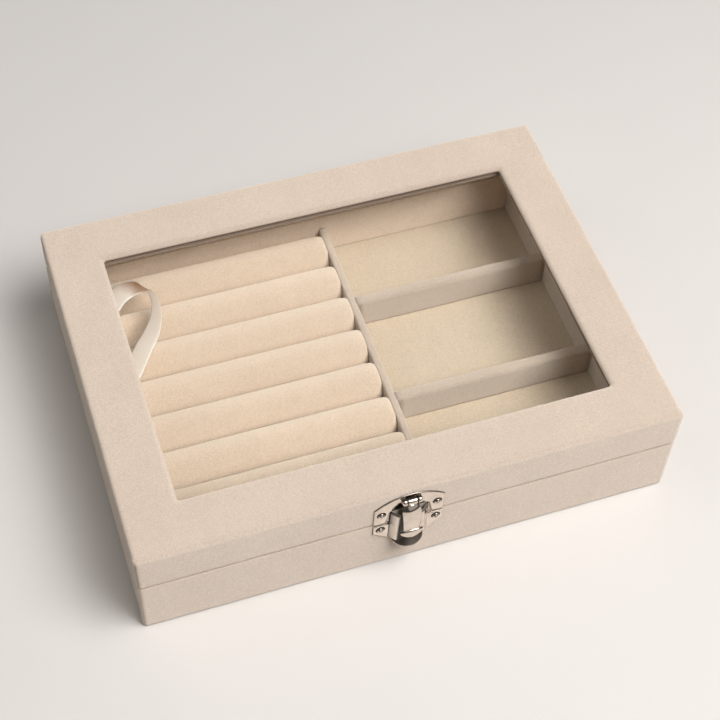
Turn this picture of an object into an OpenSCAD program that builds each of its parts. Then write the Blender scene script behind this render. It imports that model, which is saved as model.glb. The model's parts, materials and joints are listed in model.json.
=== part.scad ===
// Ring display box: a velvet-covered box with a glazed lid, a row of ring rolls and three bays.
// Origin: centre of the underside. +X right along the front, +Y to the back, +Z up. Millimetres.

/* [Overall] */
// Outside width of the box
box_w = 200; // [180:1:240]
// Outside depth of the box
box_d = 150; // [140:1:180]
// Height of the base up to its rim
base_h = 27.8; // [26:0.1:36]
// Height of the lid from its rim to its top
lid_h = 17.9; // [16:0.1:24]
// Gap between the two rims when the box is closed
seam_gap = 0.3; // [0.3:0.1:0.6]
// Radius of the covered outside corners and edges
edge_r = 1.5; // [1:0.1:1.8]
// Radius of the two rims at the seam
rim_r = 0.8; // [0.5:0.1:1.1]

/* [Boards and covering] */
// Thickness of the covering velvet
velvet = 0.6; // [0.4:0.1:0.9]
// Thickness of the wall boards
wall_board = 5.4; // [4.6:0.1:7]
// Thickness of the lined card inside the walls
lining = 2.4; // [1.6:0.1:3.2]
// How far the lined card stays back from the rim
lining_drop = 1; // [0.5:0.1:2]
// Depth that the covering is turned in over a rim
turn_in = 7; // [4:0.5:9]
// Thickness of the paper on the underside
paper = 0.5; // [0.3:0.1:0.8]
// Distance of the paper from the outside edge
paper_inset = 4; // [3:0.5:8]
// Width of the covering's hem under the base
base_hem = 12; // [10:1:20]
// Thickness of the floor board
floor_board_t = 3; // [2:0.1:4]
// Thickness of the lined floor pad
floor_pad_t = 1.9; // [1.4:0.1:3]

/* [Glazed lid] */
// Width of the lid's border round the window
border = 20; // [16:0.5:26]
// Thickness of the lid's top board
top_board_t = 1.5; // [1.2:0.1:2.5]
// Radius of the covered edge of the window
window_r = 0.9; // [0.5:0.1:1]
// Width of the covering's hem under the top board
window_hem = 11; // [9:0.5:12]
// Thickness of the glass
glass_t = 2; // [1.5:0.1:3]
// How far the glass reaches past the window
glass_overlap = 8; // [5:0.5:9]
// Thickness of the frame that holds the glass up
retainer_t = 2; // [1.5:0.1:3]
// How far that frame stays back from the window
retainer_reveal = 1; // [0.5:0.1:2]

/* [Inside] */
// Clear width of the side that holds the ring rolls
ring_side_w = 99.6; // [80:0.1:110]
// Gap between neighbouring rolls
roll_gap = 0.3; // [0.3:0.1:0.8]
// Gap at each end of a roll
roll_end_gap = 0.3; // [0.3:0.1:1]
// Radius of a roll's end edges
roll_end_r = 3; // [2:0.1:4]
// Thickness of the long divider
long_divider_t = 3; // [2.4:0.1:5]
// Thickness of the cross dividers
cross_divider_t = 4.3; // [3:0.1:6]
// Height of the dividers above the floor
divider_h = 14.4; // [10:0.1:17]
// Clear depth of the rear bay
rear_bay = 37.2; // [28:0.1:42]
// Clear depth of the front bay
front_bay = 43.1; // [34:0.1:48]

/* [Ribbon] */
// Width of the ribbon that stays the lid
ribbon_w = 7.4; // [6.4:0.1:7.8]
// Thickness of the ribbon
ribbon_t = 0.4; // [0.3:0.1:0.5]
// Distance of the ribbon's glued ends from the lined walls
ribbon_seat = 0.3; // [0.3:0.1:0.5]

/* [Hinges] */
// Distance between the middles of the two hinges
hinge_spacing = 120; // [90:1:140]
// Length of a hinge along its pin
hinge_len = 18; // [14:0.5:24]
// Height of a hinge leaf away from the pin
leaf_h = 9; // [8:0.1:11]
// Thickness of a hinge leaf
leaf_t = 0.8; // [0.6:0.1:1]
// Radius of a hinge knuckle
knuckle_r = 1.5; // [1.4:0.05:1.8]
// Radius of a hinge pin
hinge_pin_r = 0.8; // [0.6:0.05:0.9]
// Radial clearance round the pins
pin_clear = 0.04; // [0.02:0.01:0.08]
// Gap between neighbouring knuckles
knuckle_gap = 0.3; // [0.2:0.05:0.5]

/* [Nails] */
// Radius of a nail's shank
nail_r = 0.6; // [0.5:0.05:0.7]
// Radius of a hinge nail's head
nail_head_r = 1.2; // [1:0.05:1.4]
// Radius of a clasp nail's head
clasp_head_r = 1.7; // [1.4:0.05:1.9]
// Length of a nail below its head
nail_len = 4.4; // [3:0.1:5]
// Clearance round a nail's shank
nail_clear = 0.05; // [0.03:0.01:0.1]

/* [Clasp] */
// Distance of the clasp from the middle of the front
clasp_x = -3.3; // [-10:0.1:10]
// Thickness of the clasp's sheet metal
sheet = 0.6; // [0.5:0.05:0.8]
// Overall width of the clasp's plates
clasp_w = 26; // [24:0.5:30]
// Height of the upper plate's arched top above the lid's rim
plate_rise = 15.3; // [15:0.1:15.8]
// Radius of the arched top
arch_r = 18; // [17:0.5:24]
// Distance of the two plates from the rims
plate_back = 0.5; // [0.3:0.1:1]
// Depth of the lower plate's ears below the base's rim
catch_drop = 5; // [4.8:0.1:6]
// How far the catch stands out from the box
catch_out = 3; // [2.4:0.1:3.2]
// Height of the catch above the base's rim
catch_above = 7; // [5:0.1:7.4]
// Depth of the catch below the base's rim
catch_below = 11.6; // [10.5:0.1:13]
// How far the catch's bill flares out further
bill_flare = 2.2; // [1.4:0.1:2.6]
// Gap between the tongue and the catch
tongue_gap = 0.4; // [0.3:0.05:0.6]
// Half the width of the tongue's face at its shoulders
tongue_half = 3.7; // [3.3:0.1:3.9]
// Half the width of the tongue at its fold
fold_half = 3.1; // [2.6:0.1:3.3]
// Half the width of the tongue's lip
lip_half = 4.2; // [3.8:0.1:4.6]
// Radius of the lip's rounded lower edge
lip_r = 5.6; // [5:0.1:6.4]
// Thickness of the tongue
tongue_t = 0.8; // [0.6:0.05:1]
// Radius of the tongue's knuckle
tongue_knuckle_r = 1.3; // [1.2:0.05:1.4]
// Radius of the tongue's pin
clasp_pin_r = 0.5; // [0.4:0.05:0.6]

/* [Hidden] */
$fn = 48;
eps = 0.01;
far = 2 * (box_w + box_d);

rolls = 8;
velvet_color = [0.86, 0.79, 0.71];
lining_color = [0.88, 0.80, 0.69];
board_color = [0.70, 0.64, 0.54];
metal_color = [0.75, 0.74, 0.73];

// Outside corners stay round enough for the velvet to cover the boards' square corners.
corner_r = min(edge_r, 3 * velvet);
lid_z = base_h + seam_gap;
top_z = lid_z + lid_h;

// Half sizes, from the outside in: boards, their inner faces, the covering turned in, the lining.
board_x = box_w / 2 - velvet;
board_y = box_d / 2 - velvet;
face_x = board_x - wall_board;
face_y = board_y - wall_board;
turn_x = face_x - velvet;
turn_y = face_y - velvet;
in_x = turn_x - lining;
in_y = turn_y - lining;
window_x = box_w / 2 - border;
window_y = box_d / 2 - border;

board_z = paper + velvet;
pad_z = board_z + floor_board_t;
floor_z = pad_z + floor_pad_t;
base_board_top = base_h - velvet;
lid_board_bottom = lid_z + velvet;
top_board_z = top_z - velvet - top_board_t;
glass_top = top_board_z - velvet;
glass_z = glass_top - glass_t;
retainer_z = glass_z - retainer_t;

roll_pitch = 2 * in_y / rolls;
roll_r = (roll_pitch - roll_gap) / 2;
roll_z = floor_z + roll_pitch / 2;
long_x = -in_x + ring_side_w;
bay_x = long_x + long_divider_t;

hinge_y = box_d / 2 + knuckle_r;
hinge_z = base_h + seam_gap / 2;
hinge_bore_r = hinge_pin_r + pin_clear;
middle_knuckle = hinge_len / 3;
leaf_start = knuckle_r + 0.3;
leaf_nail_z = leaf_start + (leaf_h - leaf_start) / 2;
leaf_nail_x = hinge_len / 2 - 3.5;
nail_hole_r = nail_r + nail_clear;
nail_head_h = 0.45;

plate_nail_x = clasp_w / 2 - 2.7;
plate_nail_z = lid_z + 6.5;
catch_nail_z = base_h - 2.9;
tongue_z = lid_z + plate_rise - 1.4;
tongue_out = sheet + tongue_knuckle_r + 0.25;
tongue_back = catch_out + tongue_gap;
tongue_front = tongue_back + tongue_t;
shoulder_r = 5;
shoulder_z = tongue_z - shoulder_r;
fold_z = base_h - 2.2;
lug_in = 1.95;
lug_out = 3.7;
bill_h = 6;
bill_z = base_h - catch_below;

// The ribbon's middle line: distance from the left lining, place along Y, height above the base's rim.
ribbon_route = [[0, 0, -7], [0, 0, -4], [0.2, 0.2, -1.8], [1.8, 1.9, 0.4], [8.5, 10.4, 1.2],
    [16.4, 21.4, 1.9], [20.2, 26.1, 2.3], [23.4, 31.2, 2.7], [25.4, 36.8, 3], [25.9, 42.7, 3.4],
    [25, 45.4, 3.7], [23.2, 46.3, 3.9], [21.3, 47, 4.2], [19.2, 47.9, 4.5], [15.6, 47.3, 4.9],
    [11.9, 44.8, 5.2], [7.8, 39.5, 5.4], [4.6, 31, 5.6], [3.9, 16, 6.1], [3.4, 4.6, 6.8],
    [1.2, 0.8, 7.9], [0.1, 0.1, 9.3], [0, 0, 10.8]];
// A line across the ribbon at each of those points, as a share of its width: over 1 where it runs
// aslant to the edges, and short where the ribbon is pinched as it doubles back.
ribbon_across = [[0, 1, 0], [0, 1, 0], [0, 1, 0], [-0.35, 0.93, 0], [-0.8, 0.58, 0],
    [-0.8, 0.51, 0], [-0.56, 0.7, 0], [-0.39, 0.79, 0], [-0.34, 0.78, 0], [-0.41, 0.46, 0],
    [-0.36, 0.01, 0], [-0.36, -0.22, 0], [-0.46, -0.5, 0], [-0.43, -1.01, 0], [-0.11, -1.28, 0],
    [0.17, -1.39, 0], [0.31, -1.24, 0], [0.98, -0.2, 0], [1, 0, 0], [0.85, -0.5, 0],
    [0.3, -0.95, 0], [0, -1, 0], [0, -1, 0]];
ribbon_steps = 3;

// ---- Helpers ----

// A block between two corners.
module block(low, high) {
    translate(low) cube(high - low);
}

// A block that is centred on X and Y, from half sizes.
module slab(x, y, z0, z1) {
    block([-x, -y, z0], [x, y, z1]);
}

// A flat rectangle with round corners, from half sizes.
module rounded_rect(x, y, r) {
    square([2 * x, 2 * (y - r)], center = true);
    square([2 * (x - r), 2 * y], center = true);
    for (i = [-1, 1], j = [-1, 1])
        translate([i * (x - r), j * (y - r)]) circle(r);
}

// A section with its own radius at the bottom and at the top.
module side_section(x, z0, z1, r0, r1) {
    translate([-x, z0 + r0]) square([2 * x, z1 - z0 - r0 - r1]);
    translate([-x + r0, z0]) square([2 * (x - r0), r0 + eps]);
    translate([-x + r1, z1 - r1 - eps]) square([2 * (x - r1), r1 + eps]);
    for (i = [-1, 1]) {
        translate([i * (x - r0), z0 + r0]) circle(r0);
        translate([i * (x - r1), z1 - r1]) circle(r1);
    }
}

// A block whose outside edges are all rounded.
module soft_block(x, y, z0, z1, r0, r1) {
    intersection() {
        translate([0, 0, z0]) linear_extrude(z1 - z0) rounded_rect(x, y, corner_r);
        rotate([90, 0, 0]) linear_extrude(2 * y, center = true) side_section(x, z0, z1, r0, r1);
        rotate([90, 0, 90]) linear_extrude(2 * x, center = true) side_section(y, z0, z1, r0, r1);
    }
}

// One ring of material between two rectangles.
module ring(x_out, y_out, x_in, y_in, z0, z1) {
    difference() {
        slab(x_out, y_out, z0, z1);
        slab(x_in, y_in, z0 - 1, z1 + 1);
    }
}

// A round-headed nail that points along -Z, with the underside of its head at the origin.
module nail(head_r) {
    crown_r = (head_r * head_r + nail_head_h * nail_head_h) / (2 * nail_head_h);
    translate([0, 0, -nail_len]) cylinder(nail_len + eps, r = nail_r);
    difference() {
        intersection() {
            cylinder(nail_head_h, r = head_r);
            translate([0, 0, nail_head_h - crown_r]) sphere(crown_r);
        }
        for (a = [45, 135])
            translate([0, 0, nail_head_h]) rotate([0, 0, a]) cube([head_r * 0.95, 0.35, 0.4], center = true);
    }
}

// Places of the hinge nails on the back, for the base (side = -1) or the lid (side = 1).
module at_hinge_nails(side) {
    for (i = [-1, 1], j = [-1, 1])
        translate([i * hinge_spacing / 2 + j * leaf_nail_x, box_d / 2, hinge_z + side * leaf_nail_z])
            rotate([-90, 0, 0]) children();
}

// Places of the clasp nails on the front, at a height.
module at_clasp_nails(z) {
    for (i = [-1, 1])
        translate([clasp_x + i * plate_nail_x, -box_d / 2, z]) rotate([90, 0, 0]) children();
}

module nail_hole() {
    translate([0, 0, -nail_len - 0.2]) cylinder(nail_len + 3, r = nail_hole_r);
}

// ---- Base ----

module underside_paper() {
    color("ivory") slab(box_w / 2 - paper_inset, box_d / 2 - paper_inset, 0, paper);
}

module base_floor_board() {
    color(board_color) slab(board_x, board_y, board_z, pad_z);
}

// A front (side = -1) or back (side = 1) wall board.
module long_wall(side, z0, z1) {
    color(board_color) block([-board_x, min(side * face_y, side * board_y), z0],
        [board_x, max(side * face_y, side * board_y), z1]);
}

// A left (side = -1) or right (side = 1) wall board.
module short_wall(side, z0, z1) {
    color(board_color) block([min(side * face_x, side * board_x), -face_y, z0],
        [max(side * face_x, side * board_x), face_y, z1]);
}

module base_wall_front() {
    color(board_color) difference() {
        long_wall(-1, pad_z, base_board_top);
        at_clasp_nails(catch_nail_z) nail_hole();
    }
}

module base_wall_back() {
    color(board_color) difference() {
        long_wall(1, pad_z, base_board_top);
        at_hinge_nails(-1) nail_hole();
    }
}

module base_cover() {
    color(velvet_color) difference() {
        union() {
            difference() {
                soft_block(box_w / 2, box_d / 2, paper, base_h, corner_r, rim_r);
                slab(board_x, board_y, board_z, base_board_top);
                slab(turn_x, turn_y, base_board_top - 1, base_h + 1);
                slab(board_x - base_hem, board_y - base_hem, 0, board_z + 1);
            }
            ring(face_x, face_y, turn_x, turn_y, base_h - turn_in, base_board_top);
        }
        at_clasp_nails(catch_nail_z) nail_hole();
        at_hinge_nails(-1) nail_hole();
    }
}

module floor_pad() {
    color(lining_color) slab(face_x, face_y, pad_z, floor_z);
}

// A front or back strip of lined card.
module long_lining(side, z0, z1) {
    color(lining_color) block([-turn_x, min(side * in_y, side * turn_y), z0],
        [turn_x, max(side * in_y, side * turn_y), z1]);
}

// A left or right strip of lined card.
module short_lining(side, z0, z1) {
    color(lining_color) block([min(side * in_x, side * turn_x), -in_y, z0],
        [max(side * in_x, side * turn_x), in_y, z1]);
}

// A divider's section: upright, with a half-round top.
module divider_section(t) {
    translate([-t / 2, 0]) square([t, divider_h - t / 2]);
    translate([0, divider_h - t / 2]) circle(t / 2);
}

module long_divider() {
    color(velvet_color) translate([long_x + long_divider_t / 2, 0, floor_z])
        rotate([90, 0, 0]) linear_extrude(2 * in_y, center = true) divider_section(long_divider_t);
}

// A divider across the bays, with its middle at y.
module cross_divider(y) {
    color(velvet_color) translate([(bay_x + in_x) / 2, y, floor_z])
        rotate([90, 0, 90]) linear_extrude(in_x - bay_x, center = true)
            divider_section(cross_divider_t);
}

// One ring roll, number 1 at the back: a foam bar in velvet with rounded end edges.
module ring_roll(n) {
    length = ring_side_w - 2 * roll_end_gap;
    color(lining_color)
        translate([-in_x + roll_end_gap, in_y - (n - 0.5) * roll_pitch, roll_z])
            rotate([0, 90, 0]) rotate_extrude() {
                square([roll_r - roll_end_r, length]);
                translate([0, roll_end_r]) square([roll_r, length - 2 * roll_end_r]);
                for (z = [roll_end_r, length - roll_end_r])
                    translate([roll_r - roll_end_r, z]) circle(roll_end_r);
            }
}

// ---- Lid ----

module lid_wall_front() {
    color(board_color) difference() {
        long_wall(-1, lid_board_bottom, top_board_z);
        at_clasp_nails(plate_nail_z) nail_hole();
    }
}

module lid_wall_back() {
    color(board_color) difference() {
        long_wall(1, lid_board_bottom, top_board_z);
        at_hinge_nails(1) nail_hole();
    }
}

module lid_top_board() {
    color(board_color) ring(board_x, board_y, window_x + velvet, window_y + velvet,
        top_board_z, top_z - velvet);
}

// The window's section, which flares round its upper edge.
module window_section(x) {
    difference() {
        union() {
            translate([-x, lid_z]) square([2 * x, lid_h + 1]);
            translate([-x - window_r, top_z - window_r]) square([2 * (x + window_r), window_r + 1]);
        }
        for (i = [-1, 1])
            translate([i * (x + window_r), top_z - window_r]) circle(window_r);
    }
}

module window_cut() {
    intersection() {
        rotate([90, 0, 0]) linear_extrude(far, center = true) window_section(window_x);
        rotate([90, 0, 90]) linear_extrude(far, center = true) window_section(window_y);
    }
}

module lid_cover() {
    color(velvet_color) difference() {
        union() {
            difference() {
                soft_block(box_w / 2, box_d / 2, lid_z, top_z, rim_r, corner_r);
                slab(board_x, board_y, lid_board_bottom, top_z - velvet);
                slab(turn_x, turn_y, lid_z - 1, lid_board_bottom + 1);
            }
            ring(face_x, face_y, turn_x, turn_y, lid_board_bottom, lid_z + turn_in);
            ring(window_x + velvet, window_y + velvet, window_x, window_y,
                glass_top, top_z - velvet + eps);
            ring(window_x + window_hem, window_y + window_hem, window_x, window_y,
                glass_top, top_board_z);
        }
        window_cut();
        at_clasp_nails(plate_nail_z) nail_hole();
        at_hinge_nails(1) nail_hole();
    }
}

module glass_pane() {
    color("lightcyan", 0.35) slab(window_x + glass_overlap, window_y + glass_overlap, glass_z, glass_top);
}

module glass_frame() {
    color(lining_color) ring(face_x, face_y, window_x + retainer_reveal, window_y + retainer_reveal,
        retainer_z, glass_z);
}

// ---- Ribbon ----

function unit(v) = v / norm(v);

// Smooth curve through a list of points, at parameter t counted in points.
function along(points, t) =
    let (last = len(points) - 1, i = min(floor(t), last - 1), u = t - i,
        a = points[max(i - 1, 0)], b = points[i], c = points[i + 1], d = points[min(i + 2, last)])
    b + u * ((c - a) / 2 + u * ((2 * a - 5 * b + 4 * c - d) / 2 + u * ((3 * b - 3 * c + d - a) / 2)));

function ribbon_middle(t) =
    let (p = along(ribbon_route, t))
    [-in_x + ribbon_seat + ribbon_t / 2 + p[0], p[1], base_h + p[2]];

// The four corners of the ribbon's section at parameter t.
function ribbon_corners(t) =
    let (ahead = unit(ribbon_middle(min(t + 0.05, len(ribbon_route) - 1))
            - ribbon_middle(max(t - 0.05, 0))),
        across = along(ribbon_across, t),
        up = unit(cross(across, ahead)), m = ribbon_middle(t))
    [for (s = [[-1, -1], [1, -1], [1, 1], [-1, 1]])
        m + s[0] * across * ribbon_w / 2 + s[1] * up * ribbon_t / 2];

module ribbon_stay() {
    rings = ribbon_steps * (len(ribbon_route) - 1);
    points = [for (i = [0 : rings]) each ribbon_corners(i / ribbon_steps)];
    sides = [for (i = [0 : rings - 1], j = [0 : 3])
        let (a = 4 * i + j, b = 4 * i + (j + 1) % 4) each [[a, b, b + 4], [a, b + 4, a + 4]]];
    ends = [[2, 1, 0], [3, 2, 0], 4 * rings * [1, 1, 1] + [0, 1, 2], 4 * rings * [1, 1, 1] + [0, 2, 3]];
    color("linen") polyhedron(points, concat(sides, ends));
}

// ---- Hinges ----

// A hinge leaf on the back of the base (side = -1, outer knuckles) or the lid (side = 1, middle one).
module hinge_leaf(side) {
    half = hinge_len / 2;
    inner = middle_knuckle / 2;
    difference() {
        union() {
            block([-half, box_d / 2, side > 0 ? hinge_z + leaf_start : hinge_z - leaf_h],
                [half, box_d / 2 + leaf_t, side > 0 ? hinge_z + leaf_h : hinge_z - leaf_start]);
            if (side > 0) hinge_knuckle(-inner, inner, side);
            else for (i = [-1, 1])
                hinge_knuckle(min(i * (inner + knuckle_gap), i * half),
                    max(i * (inner + knuckle_gap), i * half), side);
        }
        translate([0, hinge_y, hinge_z]) rotate([0, 90, 0])
            cylinder(hinge_len + 2, r = hinge_bore_r, center = true);
        for (j = [-1, 1])
            translate([j * leaf_nail_x, box_d / 2, hinge_z + side * leaf_nail_z])
                rotate([-90, 0, 0]) nail_hole();
    }
}

// A knuckle from x0 to x1 with the web that rolls it onto its leaf.
module hinge_knuckle(x0, x1, side) {
    translate([x0, hinge_y, hinge_z]) rotate([0, 90, 0]) cylinder(x1 - x0, r = knuckle_r);
    block([x0, box_d / 2, side > 0 ? hinge_z : hinge_z - leaf_start - eps],
        [x1, box_d / 2 + leaf_t, side > 0 ? hinge_z + leaf_start + eps : hinge_z]);
}

module hinge_base_leaf_left() {
    color(metal_color) translate([-hinge_spacing / 2, 0, 0]) hinge_leaf(-1);
}

module hinge_base_leaf_right() {
    color(metal_color) translate([hinge_spacing / 2, 0, 0]) hinge_leaf(-1);
}

module hinge_lid_leaf_left() {
    color(metal_color) translate([-hinge_spacing / 2, 0, 0]) hinge_leaf(1);
}

module hinge_lid_leaf_right() {
    color(metal_color) translate([hinge_spacing / 2, 0, 0]) hinge_leaf(1);
}

module hinge_pin(side) {
    color(metal_color) translate([side * hinge_spacing / 2, hinge_y, hinge_z])
        rotate([0, 90, 0]) cylinder(hinge_len, r = hinge_pin_r, center = true);
}

module hinge_nails(side) {
    color(metal_color) at_hinge_nails(side) translate([0, 0, leaf_t]) nail(nail_head_r);
}

// ---- Clasp: drawn with X across, Y up and Z out of the front ----

module on_front() {
    translate([clasp_x, -box_d / 2, 0]) rotate([90, 0, 0]) children();
}

// The upper plate's outline: arched top, square ears and a mouth that clears the catch.
module plate_outline() {
    z0 = lid_z + plate_back;
    z1 = lid_z + plate_rise;
    mouth = 7.4;
    difference() {
        intersection() {
            translate([-clasp_w / 2, z0]) square([clasp_w, z1 - z0]);
            translate([0, z1 - arch_r]) circle(arch_r);
        }
        polygon([[-mouth - 1.2, z0 - 1], [mouth + 1.2, z0 - 1],
            [mouth, base_h + catch_above - 0.6], [-mouth, base_h + catch_above - 0.6]]);
        translate([-mouth + 1, base_h + catch_above - 1]) square([2 * mouth - 2, 1.6]);
        for (i = [-1, 1])
            translate([i * (mouth - 1), base_h + catch_above - 0.4]) circle(1);
    }
}

// The lugs that hold the tongue's pin, rolled out of the upper plate.
module plate_lugs() {
    for (i = [-1, 1])
        translate([i * (lug_in + lug_out) / 2, tongue_z, 0]) {
            translate([0, 0, tongue_out]) rotate([0, 90, 0])
                cylinder(lug_out - lug_in, r = tongue_knuckle_r, center = true);
            translate([0, 0, (tongue_out + sheet) / 2 - eps])
                cube([lug_out - lug_in, 1.6, tongue_out - sheet + 4 * eps], center = true);
        }
}

module clasp_plate() {
    color(metal_color) difference() {
        on_front() {
            linear_extrude(sheet) plate_outline();
            plate_lugs();
        }
        on_front() translate([0, tongue_z, tongue_out]) rotate([0, 90, 0])
            cylinder(clasp_w, r = clasp_pin_r + pin_clear, center = true);
        at_clasp_nails(plate_nail_z) nail_hole();
    }
}

module clasp_plate_nails() {
    color(metal_color) at_clasp_nails(plate_nail_z) translate([0, 0, sheet]) nail(clasp_head_r);
}

module catch_plate_nails() {
    color(metal_color) at_clasp_nails(catch_nail_z) translate([0, 0, sheet]) nail(clasp_head_r);
}

module clasp_pin() {
    color(metal_color) on_front() translate([0, tongue_z, tongue_out]) rotate([0, 90, 0])
        cylinder(2 * lug_out, r = clasp_pin_r, center = true);
}

// Everything behind the tongue's strap and rounded shoulder, up to a distance from the box.
module behind_strap(out) {
    intersection() {
        translate([0, fold_z]) square([out, tongue_z - fold_z - 0.6]);
        union() {
            translate([0, fold_z]) square([out, shoulder_z - fold_z]);
            translate([tongue_front - shoulder_r, shoulder_z])
                circle(shoulder_r - tongue_front + out + 0.03, $fn = 96);
        }
    }
}

// The tongue seen from the side: knuckle, neck, rounded shoulder, strap and lip. X is out, Y is up.
module tongue_side() {
    lip_end = fold_z - 2.9;
    difference() {
        union() {
            difference() {
                behind_strap(tongue_front);
                behind_strap(tongue_back);
                square([tongue_out - 0.4, top_z]);
            }
            translate([tongue_out, tongue_z]) circle(tongue_knuckle_r);
            translate([tongue_out - 0.4, tongue_z - 1.9]) square([tongue_t, 1.2]);
            polygon([[tongue_back, fold_z + 0.5], [tongue_back, fold_z - 0.2],
                [tongue_back + 0.2, fold_z - 0.6], [tongue_front + 1.5, lip_end],
                [tongue_front + 2, lip_end + 0.5], [tongue_front, fold_z],
                [tongue_front, fold_z + 0.5]]);
        }
        translate([tongue_out, tongue_z]) circle(clasp_pin_r + pin_clear);
    }
}

// The tongue seen from the front: knuckle, round shoulders, straight sides and a wider, rounded lip.
module tongue_front_view() {
    top = shoulder_z + 2.7;
    translate([-lug_in + 0.25, top - 1.5]) square([2 * (lug_in - 0.25), tongue_z - top + 3.5]);
    translate([0, top - tongue_half]) circle(tongue_half);
    polygon([[-tongue_half, top - tongue_half], [-fold_half, fold_z - 1],
        [fold_half, fold_z - 1], [tongue_half, top - tongue_half]]);
    intersection() {
        translate([0, fold_z - 2.8 + lip_r]) circle(lip_r);
        translate([-lip_half, 0]) square([2 * lip_half, fold_z]);
    }
}

module clasp_tongue() {
    color(metal_color) translate([clasp_x, -box_d / 2, 0]) intersection() {
        rotate([90, 0, -90]) linear_extrude(clasp_w, center = true) tongue_side();
        rotate([90, 0, 0]) linear_extrude(far, center = true) tongue_front_view();
    }
}

// Half of the catch's section across X, from the box outwards along -Y.
module catch_section(inset) {
    foot = 7.2 - 1.3 * inset;
    crest = 4.6 - 0.6 * inset;
    polygon([[-foot, -0.3], [-crest, -catch_out + inset], [crest, -catch_out + inset], [foot, -0.3]]);
}

// The bill: a flared collar that turns out from the foot of the catch.
module catch_bill() {
    flare_r = (bill_h * bill_h + bill_flare * bill_flare) / (2 * bill_flare);
    intersection() {
        translate([0, 1, 0]) rotate_extrude() intersection() {
            translate([catch_out + 1 + flare_r, bill_z + bill_h]) difference() {
                circle(flare_r + sheet, $fn = 96);
                circle(flare_r, $fn = 96);
            }
            translate([0, bill_z]) square([catch_out + bill_flare + 2, bill_h]);
        }
        block([-clasp_w, -far, 0], [clasp_w, -sheet / 2, top_z]);
    }
}

// The lower plate's outline: two ears whose lower edges slope in to the catch.
module catch_outline() {
    z1 = base_h - plate_back;
    ear = clasp_w / 2;
    polygon([[-ear, z1], [-ear, base_h - catch_drop], [-7, bill_z + 1.6], [-4, bill_z - 0.4],
        [4, bill_z - 0.4], [7, bill_z + 1.6], [ear, base_h - catch_drop], [ear, z1]]);
}

module catch_plate() {
    hump_z = bill_z + 2.6;
    hump_h = base_h + catch_above - hump_z;
    color(metal_color) difference() {
        union() {
            difference() {
                on_front() linear_extrude(sheet) catch_outline();
                translate([clasp_x, -box_d / 2, hump_z + sheet]) linear_extrude(hump_h)
                    polygon([[-5.7, 1], [-5.7, -1], [5.7, -1], [5.7, 1]]);
            }
            translate([clasp_x, -box_d / 2, hump_z]) difference() {
                linear_extrude(hump_h) catch_section(0);
                translate([0, 0, sheet]) linear_extrude(hump_h) catch_section(sheet);
            }
            translate([clasp_x, -box_d / 2, 0]) catch_bill();
        }
        at_clasp_nails(catch_nail_z) nail_hole();
    }
}

underside_paper();
base_floor_board();
base_wall_front();
base_wall_back();
short_wall(-1, pad_z, base_board_top);  // base_wall_left
short_wall(1, pad_z, base_board_top);  // base_wall_right
base_cover();
floor_pad();
long_lining(-1, floor_z, base_h - lining_drop);  // base_lining_front
long_lining(1, floor_z, base_h - lining_drop);  // base_lining_back
short_lining(-1, floor_z, base_h - lining_drop);  // base_lining_left
short_lining(1, floor_z, base_h - lining_drop);  // base_lining_right
long_divider();
cross_divider(in_y - rear_bay - cross_divider_t / 2);  // rear_cross_divider
cross_divider(-in_y + front_bay + cross_divider_t / 2);  // front_cross_divider
ring_roll(1);  // ring_roll_1
ring_roll(2);  // ring_roll_2
ring_roll(3);  // ring_roll_3
ring_roll(4);  // ring_roll_4
ring_roll(5);  // ring_roll_5
ring_roll(6);  // ring_roll_6
ring_roll(7);  // ring_roll_7
ring_roll(8);  // ring_roll_8
lid_wall_front();
lid_wall_back();
short_wall(-1, lid_board_bottom, top_board_z);  // lid_wall_left
short_wall(1, lid_board_bottom, top_board_z);  // lid_wall_right
lid_top_board();
lid_cover();
glass_pane();
glass_frame();
long_lining(-1, lid_z + lining_drop, retainer_z);  // lid_lining_front
long_lining(1, lid_z + lining_drop, retainer_z);  // lid_lining_back
short_lining(-1, lid_z + lining_drop, retainer_z);  // lid_lining_left
short_lining(1, lid_z + lining_drop, retainer_z);  // lid_lining_right
ribbon_stay();
hinge_base_leaf_left();
hinge_base_leaf_right();
hinge_lid_leaf_left();
hinge_lid_leaf_right();
hinge_pin(-1);  // hinge_pin_left
hinge_pin(1);  // hinge_pin_right
hinge_nails(-1);  // hinge_base_nails
hinge_nails(1);  // hinge_lid_nails
clasp_plate();
clasp_plate_nails();
clasp_pin();
clasp_tongue();
catch_plate();
catch_plate_nails();
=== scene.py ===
"""Looks of a velvet ring display box: fabric, glass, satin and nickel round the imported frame."""
import json
import math

import bmesh
import bpy
import numpy as np
from mathutils import Matrix, Vector, noise

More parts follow.
